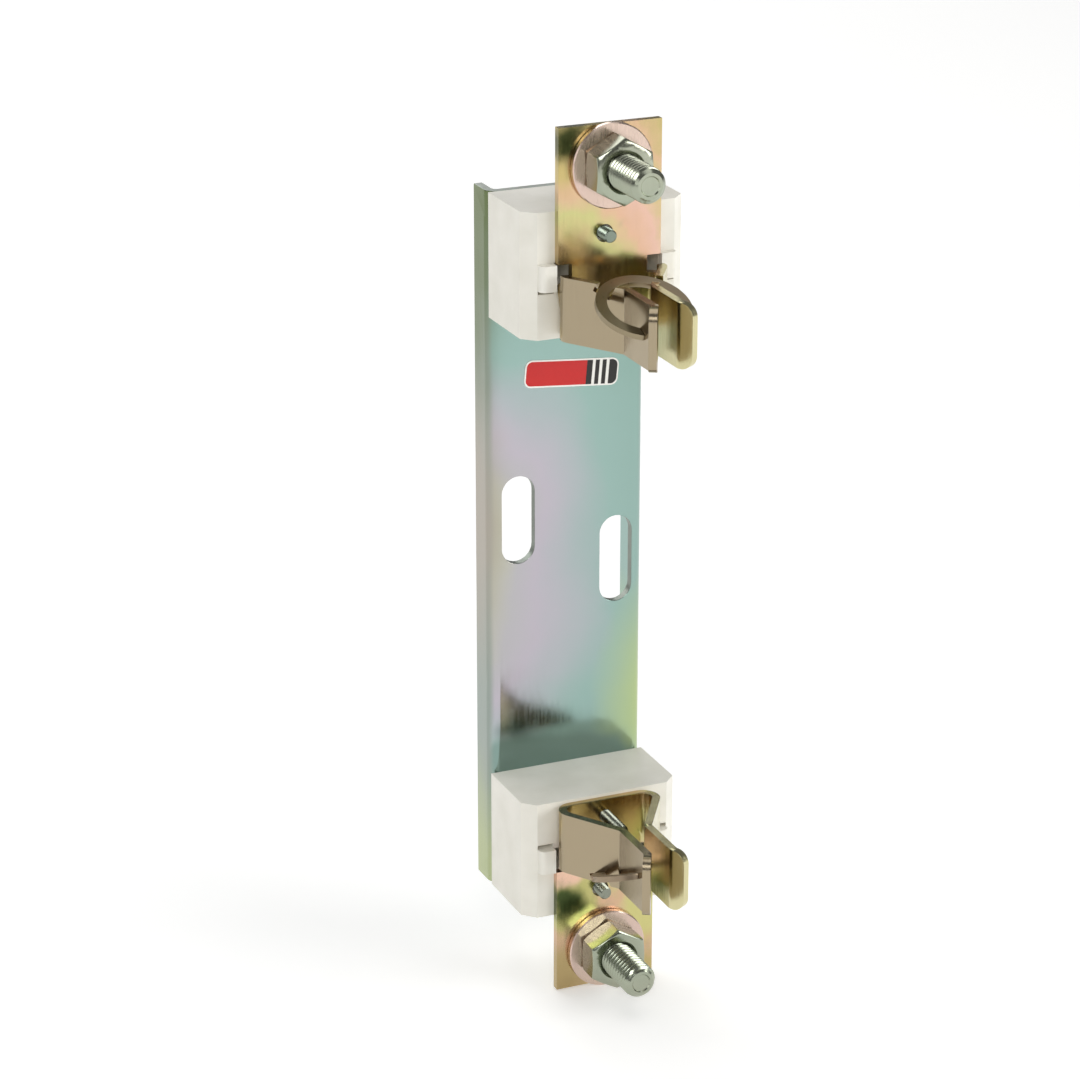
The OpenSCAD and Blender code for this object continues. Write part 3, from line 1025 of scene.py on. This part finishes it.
def round_edges(bm, edges, offset, segments):
    """Rounds edges, or chamfers them with one segment."""
    bmesh.ops.bevel(
        bm,
        geom=edges,
        offset=offset,
        offset_type="OFFSET",
        segments=segments,
        profile=0.5,
        affect="EDGES",
        material=-1,
    )


def at_x(edge, x):
    """Whether an edge lies at a distance from the middle, on either side."""
    return all(abs(abs(v.co.x) - x) < SAME_PLACE for v in edge.verts)


def insulator(_):
    """Moulded block: chamfered front corners, two rounded lugs drawn out of its front face, and a
    pocket and a groove beside each lug."""
    size = (BLOCK_HIGH.x - BLOCK_LOW.x, BLOCK_HIGH.y - SEAT, BLOCK_HIGH.z - BLOCK_LOW.z)
    middle = (0, (BLOCK_HIGH.y + SEAT) / 2, (BLOCK_HIGH.z + BLOCK_LOW.z) / 2)
    bm = block(size, middle)
    in_front = [e for e in bm.edges if all(abs(v.co.y - SEAT) < SAME_PLACE for v in e.verts)]
    corners = [e for e in in_front if abs(e.verts[0].co.x - e.verts[1].co.x) < SAME_PLACE]
    round_edges(bm, corners, BLOCK_CHAMFER, 1)
    for side in (-1, 1):
        split_at(bm, (side * LUG_INNER, 0, 0), (1, 0, 0))
        split_at(bm, (side * LUG_OUTER, 0, 0), (1, 0, 0))
    for height in (LUG_LOW, LUG_HIGH):
        split_at(bm, (0, 0, height), (0, 0, 1))

    def on_lug(face):
        x, y, z = face.calc_center_median()
        in_seat = abs(y - SEAT) < SAME_PLACE
        return in_seat and LUG_INNER < abs(x) < LUG_OUTER and LUG_LOW < z < LUG_HIGH

    footprint = [f for f in bm.faces if on_lug(f)]
    drawn = bmesh.ops.extrude_face_region(bm, geom=footprint)["geom"]
    verts = [g for g in drawn if isinstance(g, bmesh.types.BMVert)]
    bmesh.ops.delete(bm, geom=footprint, context="FACES_ONLY")
    bmesh.ops.translate(bm, vec=FORWARD * LUG_OUT, verts=verts)
    drawn_edges = [e for e in bm.edges if all(v in verts for v in e.verts)]
    round_edges(bm, [e for e in drawn_edges if at_x(e, LUG_OUTER)], LUG_R, 6)
    bmesh.ops.dissolve_limit(bm, angle_limit=FLAT, verts=bm.verts, edges=bm.edges)
    bmesh.ops.recalc_face_normals(bm, faces=bm.faces)
    for side in (-1, 1):
        for (inner, outer), (low, high), deep in (POCKET, GROOVE):
            centre = (side * (inner + outer) / 2, SEAT, (low + high) / 2)
            hollow = block((outer - inner, 2 * deep, high - low), centre)
            bm = carved(bm, hollow, "DIFFERENCE")
    weight = bm.edges.layers.float.new("bevel_weight_edge")
    for e in bm.edges:
        if e.calc_face_angle(0) > BROKEN:
            e[weight] = FINE_EDGE if beside_recess((e.verts[0].co + e.verts[1].co) / 2) else 1.0
    return bm


def beside_recess(spot):
    """Whether the middle of an edge is so near a recess that a full break would run into it."""
    x, y, z = spot
    near_pocket = POCKET[0][0] - 0.1 < abs(x) < POCKET[0][1] + 0.15
    near_groove = GROOVE[1][0] - 0.3 < z < GROOVE[1][1] + 0.2
    round_lug = LUG_LOW - 2 < z < LUG_HIGH + 1 and abs(x) < LUG_OUTER + 0.1
    return (near_pocket or near_groove) and round_lug and y < SEAT + POCKET[2] + 1


# Rear screws


def rear_screw(across, height, shown, end):
    """Pan head screw from behind the channel with a cross recess, threaded from the depth called
    shown to its end."""
    seat = CHANNEL_FRONT + CHANNEL_T + LOCK_T
    section = [(0, 0), (SCREW_HEAD_R, 0), (SCREW_HEAD_R, SCREW_HEAD_SIDE_H)]
    section += [(SCREW_HEAD_R * share, SCREW_HEAD_H - below) for share, below in SCREW_HEAD_TOP]
    head = turned(section, (across, seat, height), BACKWARD, steps=48)
    for angle in (0, 90):
        wing = block((CROSS_W, 2 * CROSS_DEEP, CROSS_T))
        # The recess narrows towards its bottom
        for v in wing.verts:
            if v.co.y < 0:
                v.co.x *= CROSS_BOTTOM_SHARE
        turn_by(wing, math.radians(angle), "Y")
        bmesh.ops.translate(wing, vec=(across, seat + SCREW_HEAD_H, height), verts=wing.verts)
        head = carved(head, wing, "DIFFERENCE")
    # The shank begins inside the head and ends short of the thread, hidden in the plate or block
    into_head = 0.2
    length = seat - shown - into_head
    core = [(0, 0), (SCREW_CORE_R, 0), (SCREW_CORE_R, length), (0, length)]
    shank = turned(core, (across, seat + into_head, height), FORWARD, steps=24)
    rod = threaded_rod(
        SCREW_R, SCREW_PITCH, shown - end, SCREW_POINT, (across, shown, height), FORWARD
    )
    return carved(carved(head, shank, "UNION"), rod, "UNION")


def lock_washer(across, height):
    """Split spring washer under a screw head."""
    seat = CHANNEL_FRONT + CHANNEL_T + LOCK_T
    inner = SCREW_R + SCREW_CLEARANCE
    outer = inner + SCREW_HEAD_R - SCREW_R
    section = [(inner, 0), (outer, 0), (outer, LOCK_T), (inner, LOCK_T)]
    bm = turned(section, (across, seat, height), FORWARD, steps=48)
    split = block((SCREW_HEAD_R * 2, 5 * LOCK_T, LOCK_SPLIT), (SCREW_HEAD_R, 0, 0))
    turn_by(split, LOCK_TURN, "Y")
    bmesh.ops.translate(split, vec=(across, seat, height), verts=split.verts)
    return carved(bm, split, "DIFFERENCE")


# Label


def label():
    """Stuck label: white edge round a red field and a black end with three bars."""
    low, high = box_mm("front_label")
    middle = ((low.x + high.x) / 2, high.y, (low.z + high.z) / 2)
    half_w, half_h = LABEL_W / 2 - LABEL_CORNER, LABEL_H / 2 - LABEL_CORNER
    outline = []
    for cx, cz, start in ((1, 1, 0), (-1, 1, 90), (-1, -1, 180), (1, -1, 270)):
        outline += arc((cx * half_w, cz * half_h), LABEL_CORNER, start, start + 90, steps=8)
    bm = bmesh.new()
    face = bm.faces.new([bm.verts.new((x, 0, z)) for x, z in outline])
    bm.normal_update()
    bmesh.ops.inset_region(bm, faces=[face], thickness=LABEL_EDGE_W, depth=0, use_boundary=True)
    white, red, black = 0, 1, 2
    inner = max(bm.faces, key=lambda f: f.calc_area())
    inner.material_index = red
    for x in (LABEL_BLACK_FROM, *sum(LABEL_BARS, ())):
        split_at(bm, (x, 0, 0), (1, 0, 0))
    for face in bm.faces:
        x = face.calc_center_median().x
        if face.material_index == red and x > LABEL_BLACK_FROM:
            in_bar = any(start < x < end for start, end in LABEL_BARS)
            face.material_index = white if in_bar else black
    top = bmesh.ops.extrude_face_region(bm, geom=bm.faces[:])["geom"]
    raised = [g for g in top if isinstance(g, bmesh.types.BMVert)]
    bmesh.ops.translate(bm, vec=FORWARD * (high.y - low.y), verts=raised)
    bmesh.ops.recalc_face_normals(bm, faces=bm.faces)
    turn_by(bm, LABEL_TURN, "Y")
    bmesh.ops.translate(bm, vec=middle, verts=bm.verts)
    return bm


# The pieces

finish_piece(
    channel(),
    "base_channel",
    CHANNEL_ZINC,
    "blue_zinc_steel",
    edge=0.3,
    sheet_t=CHANNEL_T,
    extra=(PUNCHED_EDGE,),
    rim=1,
)
pair(insulator, "insulator", BLOCK_SKIN, "moulded_block", edge=0.4, steps=3, weighted=True)
pair(contact, "contact", STRIP_ZINC, "yellow_passivated_strip", edge=0.22, sheet_t=STRIP_T)
pair(spring_ring, "spring_ring", RING_STEEL, "spring_steel", edge=0.2)
pair(washer, "flat_washer", WASHER_ZINC, "yellow_passivated_washer", edge=0.0)
pair(nut, "terminal_nut", FASTENER_ZINC, "zinc_fastener", edge=0.12)
pair(bolt, "terminal_bolt", FASTENER_ZINC, "zinc_fastener", edge=0.0)
pair(
    lambda _: rear_screw(0, CONTACT_SCREW_Z, WEB + THREAD_HIDDEN, WEB - CONTACT_SCREW_OUT),
    "contact_screw",
    SCREW_ZINC_PAINTED_DARK,
    "rear_screw",
    edge=0.0,
)
pair(
    lambda side: rear_screw(
        side * BLOCK_SCREW_X, BLOCK_SCREW_Z, SEAT + THREAD_HIDDEN, WEB - BLOCK_SCREW_OUT
    ),
    "block_screw",
    SCREW_ZINC_PAINTED_DARK,
    "rear_screw",
    edge=0.0,
)
pair(
    lambda _: lock_washer(0, CONTACT_SCREW_Z),
    "contact_screw_washer",
    SCREW_ZINC_PAINTED_DARK,
    "rear_screw",
    edge=0.06,
)
pair(
    lambda side: lock_washer(side * BLOCK_SCREW_X, BLOCK_SCREW_Z),
    "block_screw_washer",
    SCREW_ZINC_PAINTED_DARK,
    "rear_screw",
    edge=0.06,
)
finish_piece(
    label(), "front_label", LABEL_EDGE, "label", edge=0.0, extra=(LABEL_RED, LABEL_BLACK)
)


# Floor, light and camera

FLOOR_Z = cad_box[0].z
FLOOR_HALF = 6
FLOOR_GLOW = 0.28
WORLD_GLOW = 0.15
# The photo's view
CAMERA_PLACE = Vector((-296.7, -683.4, 275.9)) * MM
CAMERA_TARGET = Vector((-6.8, -8.4, 0.85)) * MM
CAMERA_LENS = 115.0


def floor():
    """A pale sheet of paper that fades to white as in the photo."""
    bm = bmesh.new()
    bmesh.ops.create_grid(bm, x_segments=1, y_segments=1, size=FLOOR_HALF)
    bmesh.ops.translate(bm, vec=(0, 0, FLOOR_Z), verts=bm.verts)
    made = bpy.data.objects.new("floor", mesh_of(bm, "floor"))
    bm.free()
    bpy.context.scene.collection.objects.link(made)
    material, _, shader, _ = new_material("pale_paper", metallic=0.0, roughness=0.9)
    shader.inputs["Base Color"].default_value = linear("#fbfbfa")
    shader.inputs["Emission Color"].default_value = linear("#ffffff")
    shader.inputs["Emission Strength"].default_value = FLOOR_GLOW
    made.data.materials.append(material)


def softbox(name, place, width, height, watts):
    """A white panel light that faces the origin, in metres."""
    lamp = bpy.data.lights.new(name, "AREA")
    lamp.shape = "RECTANGLE"
    lamp.size = width
    lamp.size_y = height
    lamp.energy = watts
    made = bpy.data.objects.new(name, lamp)
    made.location = place
    made.rotation_mode = "QUATERNION"
    made.rotation_quaternion = (-Vector(place)).to_track_quat("-Z", "Y")
    bpy.context.scene.collection.objects.link(made)


def surroundings():
    """A dim white room."""
    world = bpy.data.worlds.new("studio")
    world.use_nodes = True
    back = world.node_tree.nodes["Background"]
    back.inputs["Color"].default_value = linear("#ffffff")
    back.inputs["Strength"].default_value = WORLD_GLOW
    bpy.context.scene.world = world
    bpy.context.scene.view_settings.view_transform = "Standard"


def camera():
    """The camera of the photo, from the left and a little above."""
    lens = bpy.data.cameras.new("camera")
    lens.lens = CAMERA_LENS
    lens.sensor_width = 36
    lens.clip_start = 0.05
    lens.clip_end = 50
    made = bpy.data.objects.new("camera", lens)
    made.location = CAMERA_PLACE
    made.rotation_mode = "QUATERNION"
    made.rotation_quaternion = (CAMERA_TARGET - CAMERA_PLACE).to_track_quat("-Z", "Y")
    bpy.context.scene.collection.objects.link(made)
    bpy.context.scene.camera = made


floor()
softbox("left", (-1.5, -0.3, 0.55), 1.2, 1.0, 5)
softbox("front", (-0.6, -1.6, 0.9), 0.7, 0.7, 8.5)
softbox("right_front", (1.3, -1.05, 0.6), 1.2, 1.0, 16.5)
softbox("back", (-0.3, 1.9, 0.85), 2.4, 1.2, 20)
softbox("overhead", (0.2, 0.0, 1.6), 1.4, 1.4, 7)
surroundings()
camera()
